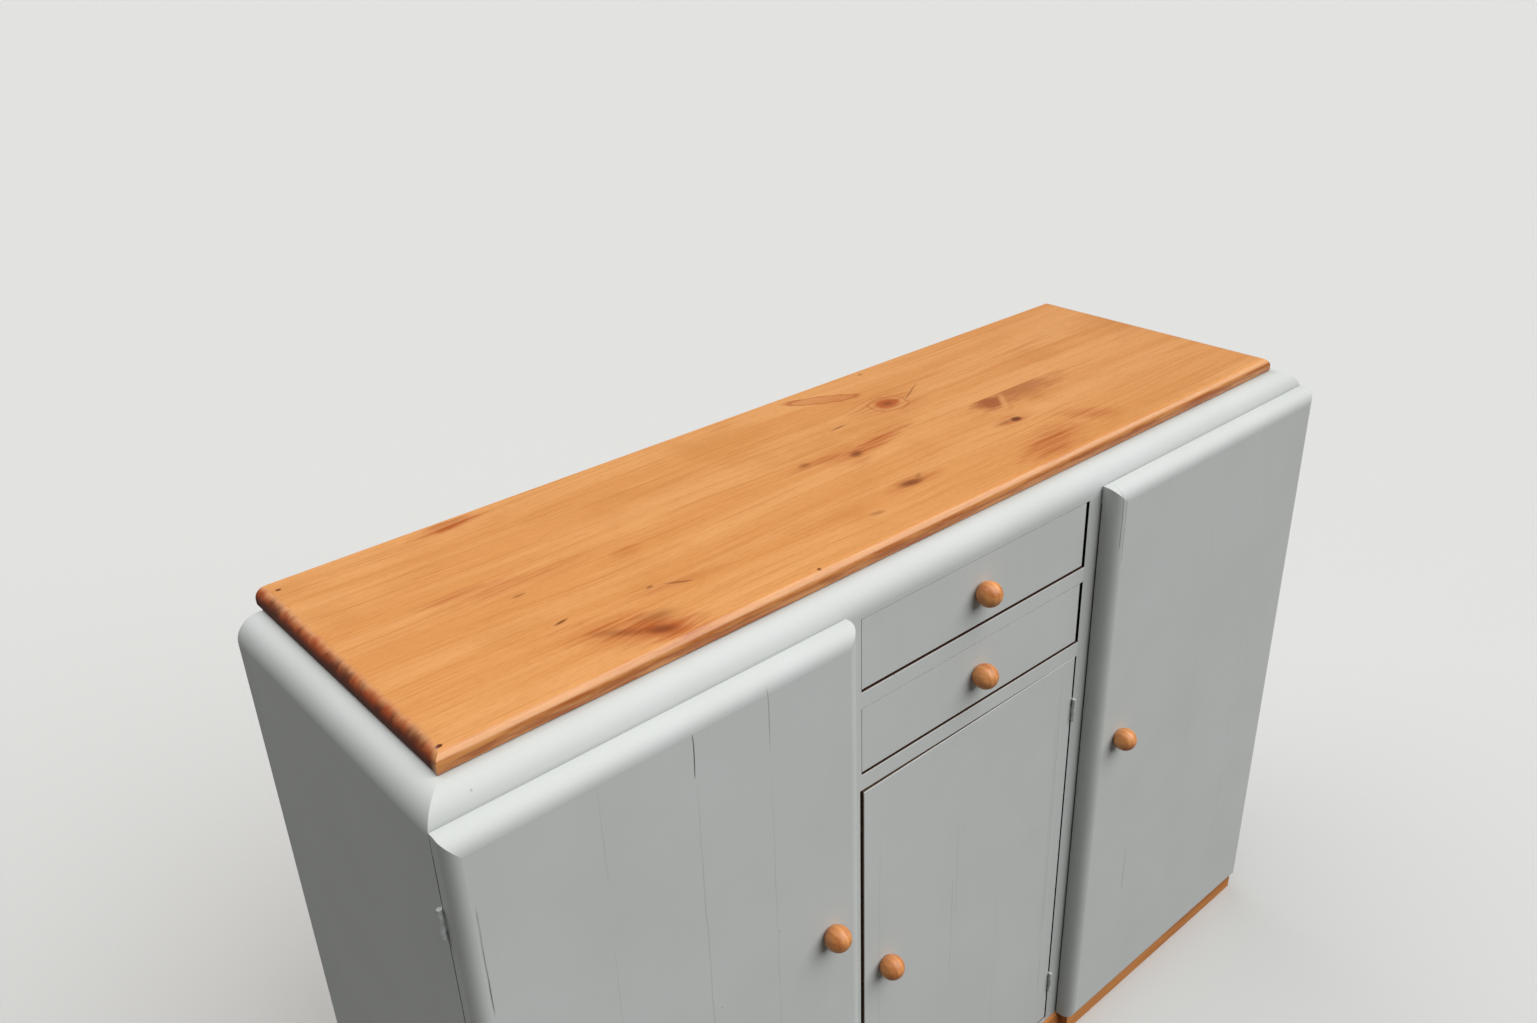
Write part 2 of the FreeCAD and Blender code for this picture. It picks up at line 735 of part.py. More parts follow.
def drawer(floor, ceiling):
    """A drawer in the opening between floor and ceiling: front, sides, back, bottom, knob, screw."""
    left = drawer_gap_left - half_opening
    right = half_opening - drawer_gap_right
    front_bottom = floor + drawer_gap_bottom
    front_top = ceiling - drawer_gap_top
    side_bottom = floor + drawer_running_gap
    side_top = ceiling - drawer_side_setdown
    inner_left = left + drawer_side_thickness
    inner_right = right - drawer_side_thickness
    lap_start = drawer_front_thickness - drawer_lap_depth
    bottom_low = side_bottom + drawer_bottom_rise
    bottom_high = bottom_low + drawer_bottom_thickness
    back_front_face = drawer_length - drawer_back_thickness

    def side(low, high):
        run = box_between(low, high, drawer_front_thickness, drawer_length, side_bottom, side_top)
        lap = box_between(low, high, lap_start, drawer_front_thickness, front_bottom, side_top)
        return run.fuse(lap).removeSplitter()

    bottom = box_between(inner_left - drawer_groove_depth, inner_right + drawer_groove_depth,
                         drawer_front_thickness - drawer_groove_depth, drawer_length, bottom_low, bottom_high)
    sides = [without(side(left, inner_left), [bottom]), without(side(inner_right, right), [bottom])]
    knob_piece, knob_screw = knob_and_screw((left + right) / 2, (front_bottom + front_top) / 2,
                                            0, drawer_front_thickness)
    front = box_between(left, right, 0, drawer_front_thickness, front_bottom, front_top)
    front = without(front, sides + [bottom, knob_screw])
    back = box_between(inner_left, inner_right, back_front_face, drawer_length, bottom_high,
                       side_top - drawer_back_setdown)
    return {"front": [front], "sides": sides, "back": [back], "bottom": [bottom],
            "knob": [knob_piece], "knob_screw": [knob_screw]}


# All the pieces under their names

def all_pieces():
    """Every node's name with its list of solids."""
    front_moulding, left_moulding = top_mouldings()
    screws = top_screws()
    side = left_side_panel()
    partition = left_partition(front_moulding)
    stile = left_stile()
    plate = strike_plate()
    catch_block = left_catch_block()
    top_panel = box_between(-moulding_inner, moulding_inner, moulding_width, carcass_depth,
                            panel_underside, carcass_height)
    sill = box_between(-half_opening, half_opening, 0, face_frame_depth, 0, sill_height)
    sill = softened_on_top(sill, rail_edge_radius)
    left_shelf = shelf(-side_inner, -partition_outer, outer_shelf_level)
    left_cleats = cleats(-side_inner, -partition_outer, outer_shelf_level)
    centre_cleats = cleats(-half_opening, half_opening, centre_shelf_level)
    pieces = {
        "pine_top": pine_top_boards(screws),
        "carcass_top_panel": [without(top_panel, screws)],
        "top_moulding_front": [front_moulding],
        "top_moulding_left": [left_moulding],
        "top_moulding_right": [mirrored(left_moulding)],
        "side_panel_left": [side],
        "side_panel_right": [mirrored(side)],
        "partition_left": [partition],
        "partition_right": [mirrored(partition)],
        "bottom_board": [bottom_board()],
        "stile_left": [without(stile, [closing_relief(), plate])],
        "stile_right": [without(mirrored(stile), fixed_cutters(centre_hinges))],
        "drawer_rail_upper": [drawer_rail(upper_drawer_floor)],
        "drawer_rail_lower": [drawer_rail(lower_drawer_floor)],
        "door_sill": [sill],
        "drawer_runners": drawer_carriers(),
        "drawer_stops": drawer_stops(),
        "shelf_left": [left_shelf],
        "shelf_centre": [shelf(-half_opening, half_opening, centre_shelf_level)],
        "shelf_right": [mirrored(left_shelf)],
        "shelf_cleats": left_cleats + centre_cleats + [mirrored(piece) for piece in left_cleats],
        "back_panel": [back_panel],
        "plinth_front": [plinth_front()],
        "plinth_frame": plinth_frame(),
        "plinth_corner_blocks": plinth_corner_blocks(),
        "hinge_fixed_leaves": [item["fixed"] for item in all_hinges],
        "hinge_pins": [item["pin"] for item in all_hinges],
        "hinge_fixed_screws": [screw for item in all_hinges for screw in item["fixed_screws"]],
        "door_catches": [catch_block, mirrored(catch_block), plate],
        "pine_top_screws": screws,
    }
    for name, solids in outer_door(left_hinges, left_knob_height, left_board_joint_shares).items():
        pieces["left_door_" + name] = solids
    # The right door is the left one mirrored, with its own knob height and board joints.
    for name, solids in outer_door(left_hinges, right_knob_height, right_board_joint_shares).items():
        pieces["right_door_" + name] = [mirrored(solid) for solid in solids]
    for name, solids in centre_door().items():
        pieces["centre_door_" + name] = solids
    for name, solids in drawer(upper_drawer_floor, upper_drawer_ceiling).items():
        pieces["upper_drawer_" + name] = solids
    for name, solids in drawer(lower_drawer_floor, lower_drawer_ceiling).items():
        pieces["lower_drawer_" + name] = solids
    return pieces


def write_pieces(pieces):
    """Move every piece into the finished frame and write one file per node."""
    for name, solids in pieces.items():
        shape = solids[0] if len(solids) == 1 else Part.makeCompound(solids)
        shape = shape.copy()
        shape.translate(Vector(0, face_y, plinth_height))
        shape.exportStep(os.path.join("parts", name + ".step"))
        print(name, len(solids), "solids, valid", shape.isValid())
    print(len(pieces), "nodes")


write_pieces(all_pieces())
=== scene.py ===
import math

import bpy
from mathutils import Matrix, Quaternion, Vector


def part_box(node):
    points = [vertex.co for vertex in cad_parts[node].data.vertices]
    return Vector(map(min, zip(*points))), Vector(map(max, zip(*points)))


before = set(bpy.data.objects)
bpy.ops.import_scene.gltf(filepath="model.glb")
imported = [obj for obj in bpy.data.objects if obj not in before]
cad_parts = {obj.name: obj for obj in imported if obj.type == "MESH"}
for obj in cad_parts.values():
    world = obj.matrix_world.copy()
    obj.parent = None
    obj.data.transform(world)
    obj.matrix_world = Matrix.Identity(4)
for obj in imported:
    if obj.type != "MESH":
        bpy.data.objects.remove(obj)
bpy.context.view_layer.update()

# The looks of a painted sideboard with a waxed pine top. Every CAD node keeps its own shape,
# because its roundings are already the real ones, and gets the finish of the real piece.

MM = 0.001

# Places on the object that the patterns follow, measured on the CAD pieces
face_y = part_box("stile_left")[0].y
top_of_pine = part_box("pine_top")[1].z
pine_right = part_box("pine_top")[1].x
pine_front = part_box("pine_top")[0].y
floor_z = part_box("plinth_front")[0].z


def linear(code):
    """An sRGB hex colour as linear red, green, blue and 1, by undoing the sRGB curve."""
    channels = [int(code[start:start + 2], 16) / 255 for start in (1, 3, 5)]
    return [c / 12.92 if c <= 0.04045 else ((c + 0.055) / 1.055) ** 2.4 for c in channels] + [1.0]


def socket(sockets, key):
    """The socket with that number or name that the node's settings leave switched on."""
    if isinstance(key, int):
        return sockets[key]
    return next(item for item in sockets if item.enabled and item.name == key)


def add(tree, kind, feeds=None, **settings):
    """A node of that kind. settings are its own properties, feeds gives an input a value,
    another node (its first output that is on) or one output of another node."""
    node = tree.nodes.new("ShaderNode" + kind)
    for name, value in settings.items():
        setattr(node, name, value)
    for key, value in (feeds or {}).items():
        target = socket(node.inputs, key)
        if isinstance(value, bpy.types.Node):
            value = next(item for item in value.outputs if item.enabled)
        if isinstance(value, bpy.types.NodeSocket):
            tree.links.new(value, target)
        else:
            target.default_value = value
    return node


def new_material(name):
    """An empty node material."""
    material = bpy.data.materials.new(name)
    material.use_nodes = True
    material.node_tree.nodes.clear()
    return material, material.node_tree


def finish_surface(tree, bump, colour, roughness, metallic=0.0, specular=0.5, bump_height=1 * MM):
    """The shader itself. Its colour and bump, and roughness if that is a node, come from the
    pattern, and the rest is even."""
    normal = add(tree, "Bump", {"Height": bump, "Distance": bump_height, "Strength": 1.0})
    shader = add(tree, "BsdfPrincipled", {"Base Color": colour, "Roughness": roughness, "Normal": normal,
                                          "Metallic": metallic, "Specular IOR Level": specular})
    add(tree, "OutputMaterial", {"Surface": shader})


# Wood

def streaks(tree, place, length, width, detail=3.0, seed=0.0):
    """Noise drawn out along x: each patch is about length long and width wide and deep."""
    drawn = add(tree, "Mapping", {"Vector": place, "Location": (seed, seed, seed),
                                  "Scale": (1 / length, 1 / width, 1 / width)})
    return add(tree, "TexNoise", {"Vector": drawn, "Scale": 1.0, "Detail": detail, "Roughness": 0.55})


def growth_lines(tree, place, spacing, waver_length, waver):
    """Thin dark late wood: the waved distance across the boards, repeated every spacing."""
    slow = add(tree, "Mapping", {"Vector": place, "Scale": (spacing / waver_length, 1.0, 1.0)})
    return add(tree, "TexWave", {"Vector": slow, "Scale": math.pi / (10 * spacing), "Distortion": waver,
                                 "Detail": 2.0, "Detail Scale": 0.12, "Detail Roughness": 0.5},
               wave_type="BANDS", bands_direction="Y", wave_profile="SIN")


def ramp(tree, value, low, high, top=1.0, smooth=True):
    """0 where value is at low, top where it is at high."""
    return add(tree, "MapRange", {"Value": value, "From Min": low, "From Max": high, "To Max": top},
               interpolation_type="SMOOTHSTEP" if smooth else "LINEAR")


def tinted(tree, share, ground, code):
    """The ground colour with that share of another colour laid over it."""
    return add(tree, "Mix", {"Factor": share, "A": ground, "B": linear(code)}, data_type="RGBA")


def larger(tree, values):
    """The largest of the values, node by node."""
    result = values[0]
    for value in values[1:]:
        result = add(tree, "Math", {0: result, 1: value}, operation="MAXIMUM")
    return result


# Marks of the pine top. Each begins with its middle (along the front from the middle of the top,
# and back from the carcass face), half length, half width and turn in degrees. Lengths are in
# millimetres. Cores and reddish haloes follow with how strong and how soft-edged they are,
# rings with how strong and how wide their line is, bends with how far the grain gives way.
KNOT_CORES = [
    (163, 311, 8, 5, 0, 0.45, 0.7),
    (15, 222, 9, 6, 20, 0.65, 0.7),
    (-53, 243, 8, 5, 0, 0.45, 0.7),
    (240, 152, 8, 6, 0, 0.90, 0.5),
    (222, 155, 16, 3, 0, 0.40, 0.8),
    (2, 117, 15, 6, -8, 0.72, 0.8),
    (22, 124, 8, 3, 30, 0.35, 0.8),
    (-83, 89, 9, 3, -10, 0.40, 0.7),
    (-409, 63, 15, 7, -32, 0.60, 0.7),
    (-440, 84, 24, 6, -37, 0.38, 0.9),
    (-396, 86, 18, 9, -10, 0.30, 0.9),
    (-658, 46, 3, 2.2, 0, 1.00, 0.3),
    (-650, 408, 3, 2.2, 0, 0.90, 0.3),
    (-475, 218, 7, 2, 0, 0.50, 0.7),
    (-472, 143, 8, 2, 10, 0.80, 0.6),
    (-368, 137, 4, 2, 0, 0.65, 0.7),
    (-340, 124, 13, 1.8, -30, 0.55, 0.7),
    (58, 298, 13, 1.5, 3, 0.80, 0.6),
    (214, 317, 27, 1.2, 29, 0.55, 0.7),
    (215, 416, 4, 2, 0, 0.60, 0.6),
    (-218, 42, 2.5, 2, 0, 0.85, 0.5),
]
KNOT_DISCS = [
    (163, 311, 19, 14, 0, 0.78, 0.3),
    (110, 384, 50, 12, -27, 0.30, 0.3),
    (-409, 64, 25, 14, -32, 0.60, 0.6),
]
RED_HALOES = [
    (163, 311, 46, 34, 0, 0.30, 0.7),
    (56, 231, 56, 12, 10, 0.80, 0.8),
    (-20, 236, 52, 7, -5, 0.70, 0.8),
    (15, 222, 24, 14, 40, 0.55, 0.8),
    (240, 153, 26, 12, 0, 0.55, 0.8),
    (214, 73, 50, 22, 14, 0.75, 0.8),
    (322, 96, 36, 16, -40, 0.50, 0.9),
    (-448, 414, 36, 10, 0, 0.90, 0.7),
    (-340, 218, 16, 7, 0, 0.40, 0.9),
    (-500, 258, 50, 9, -8, 0.45, 0.9),
    (-445, 240, 70, 10, 0, 0.30, 0.9),
    (-420, 74, 62, 26, -36, 0.70, 0.8),
    (8, 117, 36, 12, -6, 0.55, 0.8),
    (-340, 125, 60, 7, -8, 0.35, 0.9),
]
CUT_OFF_PATCHES = [
    (260, 214, 25, 23, 0, 0.74, 0.7),
    (326, 222, 62, 30, 0, 0.52, 0.8),
]
PALE_RAYS = [
    (275, 202, 24, 4, 49, 0.60, 0.8),
]
RINGS = [
    (163, 309, 28, 24, 0, 0.35, 0.12),
    (110, 384, 50, 12, -27, 0.55, 0.22),
]
GRAIN_BENDS = [
    (-409, 64, 60, 34, 0, 0.9),
    (163, 311, 70, 46, 0, 0.9),
    (240, 152, 36, 20, 0, 0.8),
    (15, 222, 36, 24, 0, 0.8),
    (110, 384, 70, 34, 0, 0.8),
    (2, 117, 36, 16, 0, 0.8),
]
# The joints between the glued boards, back from the carcass face in millimetres, and how far the
# grain moves on at each, in metres, so that it doesn't run on across the joint
BOARD_JOINTS = (228, 347)
BOARD_SHIFTS = (0.731, 1.12)
# How far the end grain reaches in from the ends, and how far under the top the nosing darkens
END_GRAIN_REACH = 14 * MM
LOW_BAND_START = 5 * MM
LOW_BAND_FULL = 8 * MM
# Wax lies smooth on the boards and sinks into their ends
WAX_ROUGHNESS = 0.26
END_GRAIN_ROUGHNESS = 1.0


def mark_place(tree, place, x, y, half_length, half_width, turn):
    """A mark's own coordinates: 0 in its middle, 1 away on its rim."""
    return add(tree, "Mapping", {"Vector": place, "Location": (x * MM, face_y + y * MM, top_of_pine),
                                 "Rotation": (0, 0, math.radians(turn)),
                                 "Scale": (half_length * MM, half_width * MM, 1.0)},
               vector_type="TEXTURE")


def from_middle(tree, place, fray, mark):
    """How far from a mark's middle, with a frayed rim at 1."""
    local = mark_place(tree, place, *mark)
    apart = add(tree, "VectorMath", {0: local}, operation="LENGTH").outputs["Value"]
    return add(tree, "Math", {0: fray, 1: apart}, operation="ADD")


def spots(tree, place, fray, marks):
    """Every mark of the list, strongest in its middle."""
    found = []
    for *shape, strength, softness in marks:
        apart = from_middle(tree, place, fray, shape)
        found.append(ramp(tree, apart, 1 + softness, 1 - softness, strength))
    return larger(tree, found)


def outlines(tree, place, fray, marks):
    """The rim of every mark of the list, as a line."""
    lines = []
    for *shape, strength, width in marks:
        off = add(tree, "Math", {0: from_middle(tree, place, fray, shape), 1: 1.0}, operation="SUBTRACT")
        apart = add(tree, "Math", {0: off}, operation="ABSOLUTE")
        lines.append(ramp(tree, apart, width, 0.0, strength))
    return larger(tree, lines)


def grain_given_way(tree, place, grain):
    """The grain's coordinates, stretched inside each knot's reach so that its lines part there."""
    for x, y, half_length, half_width, turn, share in GRAIN_BENDS:
        local = mark_place(tree, place, x, y, half_length, half_width, turn)
        apart = add(tree, "VectorMath", {0: local}, operation="LENGTH").outputs["Value"]
        pull = ramp(tree, apart, 1.0, 0.0, -share * half_width * MM)
        side = add(tree, "SeparateXYZ", {"Vector": local}).outputs["Y"]
        across = add(tree, "Math", {0: side, 1: pull}, operation="MULTIPLY")
        step = add(tree, "CombineXYZ", {"Y": across})
        grain = add(tree, "VectorMath", {0: grain, 1: step}, operation="ADD")
    return grain


def own_grain(tree, place):
    """The place on each glued board's own stretch of grain, and a share that is 1 in front of
    the first joint."""
    depth = add(tree, "SeparateXYZ", {"Vector": place}).outputs["Y"]
    shift = 0.0
    behind_joints = []
    for joint, board_shift in zip(BOARD_JOINTS, BOARD_SHIFTS):
        behind = add(tree, "Math", {0: depth, 1: face_y + joint * MM}, operation="GREATER_THAN")
        shift = add(tree, "Math", {0: behind, 1: board_shift, 2: shift}, operation="MULTIPLY_ADD")
        behind_joints.append(behind)
    own = add(tree, "CombineXYZ", {"X": shift, "Z": shift})
    front_board = add(tree, "Math", {0: 1.0, 1: behind_joints[0]}, operation="SUBTRACT")
    return add(tree, "VectorMath", {0: place, 1: own}, operation="ADD"), front_board


def unmarked_pine(tree, board_place, swayed, middle, fine):
    """Orange-brown wood in broad, middling and fine streaks, with clouds and a short mottle."""
    broad = streaks(tree, swayed, 700 * MM, 34 * MM, 2.0, 0.0)
    cloud = add(tree, "TexNoise", {"Vector": board_place, "Scale": 1 / (120 * MM), "Detail": 3.0})
    mottle = streaks(tree, board_place, 12 * MM, 3 * MM, 3.0, 1.9)
    ground = add(tree, "Mix", {"Factor": ramp(tree, broad, 0.34, 0.66), "A": linear("#D4975B"),
                               "B": linear("#CB8A4C")}, data_type="RGBA")
    ground = tinted(tree, ramp(tree, cloud, 0.48, 0.75, 0.45), ground, "#BA7838")
    ground = tinted(tree, ramp(tree, middle, 0.50, 0.74, 0.38), ground, "#AE6629")
    ground = tinted(tree, ramp(tree, fine, 0.48, 0.78, 0.28), ground, "#A9642A")
    ground = tinted(tree, ramp(tree, fine, 0.50, 0.26, 0.25), ground, "#DDA368")
    return tinted(tree, ramp(tree, mottle, 0.45, 0.75, 0.22), ground, "#B06A2E")


def with_marks(tree, place, board_place, front_board, middle, ground):
    """The wood with its haloes, patches, rays, knots and rings laid over it."""
    waver = streaks(tree, board_place, 34 * MM, 8 * MM, 4.0, 3.1)
    fray = add(tree, "MapRange", {"Value": waver, "To Min": -0.9, "To Max": 0.9})
    rim = add(tree, "MapRange", {"Value": waver, "To Min": -0.3, "To Max": 0.3})
    streak_share = ramp(tree, middle, 0.38, 0.60)
    streaky = add(tree, "Math", {0: streak_share, 1: 0.55, 2: 0.45}, operation="MULTIPLY_ADD")
    haloes = add(tree, "Math", {0: spots(tree, place, fray, RED_HALOES), 1: streaky}, operation="MULTIPLY")
    # These patches end at the first joint, because the next board doesn't share them
    whole_patches = spots(tree, place, fray, CUT_OFF_PATCHES)
    patches = add(tree, "Math", {0: whole_patches, 1: front_board}, operation="MULTIPLY")
    ground = tinted(tree, haloes, ground, "#A0460A")
    ground = tinted(tree, patches, ground, "#842E0A")
    ground = tinted(tree, spots(tree, place, rim, PALE_RAYS), ground, "#D69A5E")
    ground = tinted(tree, spots(tree, place, rim, KNOT_DISCS), ground, "#A04208")
    ground = tinted(tree, outlines(tree, place, rim, RINGS), ground, "#984012")
    return tinted(tree, spots(tree, place, rim, KNOT_CORES), ground, "#5E2406")


def with_dark_lower_edge(tree, place, height, ground):
    """The wood with the lower half of its nosing darker, in patches."""
    low_band = ramp(tree, height, top_of_pine - LOW_BAND_START, top_of_pine - LOW_BAND_FULL)
    blotch = ramp(tree, streaks(tree, place, 60 * MM, 5 * MM, 3.0, 6.1), 0.36, 0.64)
    blotched = add(tree, "Math", {0: blotch, 1: 0.65, 2: 0.25}, operation="MULTIPLY_ADD")
    low_share = add(tree, "Math", {0: low_band, 1: blotched}, operation="MULTIPLY")
    return tinted(tree, low_share, ground, "#9A501C")


def end_grain(tree, parts, board_place):
    """Where the ends have drunk the wax, and the scorched brown that they have there, darkened downwards
    to near black as painted shade.
    The border is feathered, on the rounding, and stops at the mitre with the nosing in front."""
    sideways = add(tree, "Math", {0: parts.outputs["X"]}, operation="ABSOLUTE")
    feather = streaks(tree, board_place, 60 * MM, 9 * MM, 4.0, 2.7)
    reach = add(tree, "MapRange", {"Value": feather, "To Min": -5 * MM, "To Max": 5 * MM})
    along = add(tree, "Math", {0: sideways, 1: reach}, operation="ADD")
    drunk = ramp(tree, along, pine_right - END_GRAIN_REACH, pine_right - 1 * MM, 0.97)
    outward = add(tree, "Math", {0: sideways, 1: parts.outputs["Y"]}, operation="ADD")
    mitre = pine_right + pine_front
    past_mitre = ramp(tree, outward, mitre, mitre + 12 * MM)
    share = add(tree, "Math", {0: drunk, 1: past_mitre}, operation="MULTIPLY")
    # Painted shade: each end goes from its own scorched brown near the top to near black lower down
    lower_shade = ramp(tree, parts.outputs["Z"], top_of_pine - 1 * MM, top_of_pine - 14 * MM)
    colour = add(tree, "Mix", {"Factor": lower_shade, "A": linear("#9A3C00"), "B": linear("#421400")},
                 data_type="RGBA")
    scorched = ramp(tree, streaks(tree, board_place, 90 * MM, 26 * MM, 3.0, 5.5), 0.44, 0.62, 0.75)
    return share, tinted(tree, scorched, colour, "#441300")


def pine_top_wax():
    """Old pine boards, sanded and waxed: warm orange wood with a soft sheen, knots and a few
    scratches, burnt amber at the ends where the end grain has drunk the wax, with painted shade
    darkening each end lower down."""
    material, tree = new_material("waxed_pine_top")
    place = add(tree, "TexCoord").outputs["Object"]
    parts = add(tree, "SeparateXYZ", {"Vector": place})
    board_place, front_board = own_grain(tree, place)
    # The grain runs along the top in slow bends, and gives way round the knots
    grain = grain_given_way(tree, place, board_place)
    slow = streaks(tree, grain, 420 * MM, 90 * MM, 1.0, 9.3)
    sway = add(tree, "MapRange", {"Value": slow, "To Min": -16 * MM, "To Max": 16 * MM})
    swayed = add(tree, "VectorMath", {0: grain, 1: add(tree, "CombineXYZ", {"Y": sway})}, operation="ADD")
    middle = streaks(tree, swayed, 240 * MM, 5 * MM, 4.0, 4.4)
    fine = streaks(tree, swayed, 120 * MM, 1.6 * MM, 2.0, 7.7)
    ground = unmarked_pine(tree, board_place, swayed, middle, fine)
    ground = with_marks(tree, place, board_place, front_board, middle, ground)
    ground = with_dark_lower_edge(tree, place, parts.outputs["Z"], ground)
    end_share, end_colour = end_grain(tree, parts, board_place)
    colour = add(tree, "Mix", {"Factor": end_share, "A": ground, "B": end_colour}, data_type="RGBA")
    roughness = add(tree, "MapRange", {"Value": end_share, "To Min": WAX_ROUGHNESS,
                                       "To Max": END_GRAIN_ROUGHNESS})
    finish_surface(tree, fine, colour, roughness, specular=0.5, bump_height=0.05 * MM)
    return material


# How the grain's coordinates are turned when it runs along one axis or another
along_x = (0, 0, 0)
along_z = (0, math.radians(90), 0)
along_y = (0, 0, math.radians(90))
BARE_PINE = ("#CDAF82", "#A9814F")


def pine_pattern(tree, place, light, dark, grain_turn, line_spacing=6):
    """Colour and fine streaks of planed pine: light early wood with darker lines of late wood."""
    along = add(tree, "Mapping", {"Vector": place, "Rotation": grain_turn})
    broad = streaks(tree, along, 260 * MM, 14 * MM, 3.0, 1.3)
    fine = streaks(tree, along, 90 * MM, 2.2 * MM, 2.0, 5.2)
    lines = growth_lines(tree, along, line_spacing * MM, 60 * MM, 4.0)
    ground = add(tree, "Mix", {"Factor": ramp(tree, broad, 0.35, 0.7, 0.7), "A": linear(light),
                               "B": linear(dark)}, data_type="RGBA")
    ringed = tinted(tree, ramp(tree, lines, 0.5, 1.0, 0.35), ground, dark)
    return tinted(tree, ramp(tree, fine, 0.4, 0.8, 0.4), ringed, dark), fine


def plain_pine(name, light, dark, grain_turn, roughness, specular, line_spacing=6):
    """Planed pine, bare or waxed: even, straight-grained wood. line_spacing is in millimetres."""
    material, tree = new_material(name)
    place = add(tree, "TexCoord").outputs["Object"]
    colour, fine = pine_pattern(tree, place, light, dark, grain_turn, line_spacing)
    finish_surface(tree, fine, colour, roughness, specular=specular, bump_height=0.08 * MM)
    return material


# Paint

# Satin paint, less glossy than usual because it is chalky and rubbed
PAINT_ROUGHNESS = 0.52
PAINT_SPECULAR = 0.25
# Bare old wood in a gap: near the opening a near-black that is painted shade of the gap, and farther back
# the wood's own paler brown
GAP_SHADE_WOOD = "#2C170F"
UNSHADED_GAP_WOOD = "#7D6248"


def hairlines(tree, place, cracks):
    """Hairline cracks in the paint, 1 in the crack. Each has its x, its lower and upper end and
    how clear it is, in millimetres from the middle of the object and above the floor."""
    wander = add(tree, "TexNoise", {"Vector": place, "Scale": 1 / (45 * MM), "Detail": 1.0})
    aside = add(tree, "MapRange", {"Value": wander, "To Min": -2 * MM, "To Max": 2 * MM})
    patchy = ramp(tree, add(tree, "TexNoise", {"Vector": place, "Scale": 1 / (60 * MM), "Detail": 2.0}),
                  0.30, 0.62)
    parts = add(tree, "SeparateXYZ", {"Vector": place})
    across = add(tree, "Math", {0: parts.outputs["X"], 1: aside}, operation="ADD")
    found = []
    for x, bottom, top, strength in cracks:
        off = add(tree, "Math", {0: across, 1: x * MM}, operation="SUBTRACT")
        apart = add(tree, "Math", {0: off}, operation="ABSOLUTE")
        line = ramp(tree, apart, 0.9 * MM, 0.3 * MM, strength, smooth=False)
        up = add(tree, "Math", {0: parts.outputs["Z"], 1: (bottom + top) / 2 * MM}, operation="SUBTRACT")
        half = (top - bottom) / 2
        within = ramp(tree, add(tree, "Math", {0: up}, operation="ABSOLUTE"), half * MM, half * 0.75 * MM)
        found.append(add(tree, "Math", {0: line, 1: within}, operation="MULTIPLY"))
    whole = larger(tree, found)
    broken = add(tree, "Math", {0: patchy, 1: 0.6, 2: 0.4}, operation="MULTIPLY_ADD")
    return add(tree, "Math", {0: whole, 1: broken}, operation="MULTIPLY")


def edge_wood_and_shade(tree, parts, stretch, edge_code, shade_fades_above):
    """Where a piece's edges show old wood instead of paint, and the colour there, which near the front is
    darkened as painted shade of the gap.
    """
    front, rear = stretch
    depth = parts.outputs["Y"]
    behind = ramp(tree, depth, front - 0.25 * MM, front + 0.25 * MM, smooth=False)
    before = add(tree, "Math", {0: depth, 1: rear}, operation="LESS_THAN")
    bare = add(tree, "Math", {0: behind, 1: before}, operation="MULTIPLY")
    # Above that height the painted shade of the seam is faded to 0.3 of its strength
    if shade_fades_above:
        shade_share_by_height = add(tree, "MapRange", {"Value": parts.outputs["Z"],
                                            "From Min": shade_fades_above - 2 * MM, "From Max": shade_fades_above,
                                            "To Min": 1.0, "To Max": 0.3})
        bare = add(tree, "Math", {0: bare, 1: shade_share_by_height}, operation="MULTIPLY")
    # Painted shade: near the front, where the gap is, the wood is painted darker; farther back it has its
    # own paler brown
    farther = ramp(tree, depth, front + 5 * MM, front + 11 * MM, smooth=False)
    return bare, add(tree, "Mix", {"Factor": farther, "A": linear(edge_code), "B": linear(UNSHADED_GAP_WOOD)},
                     data_type="RGBA")


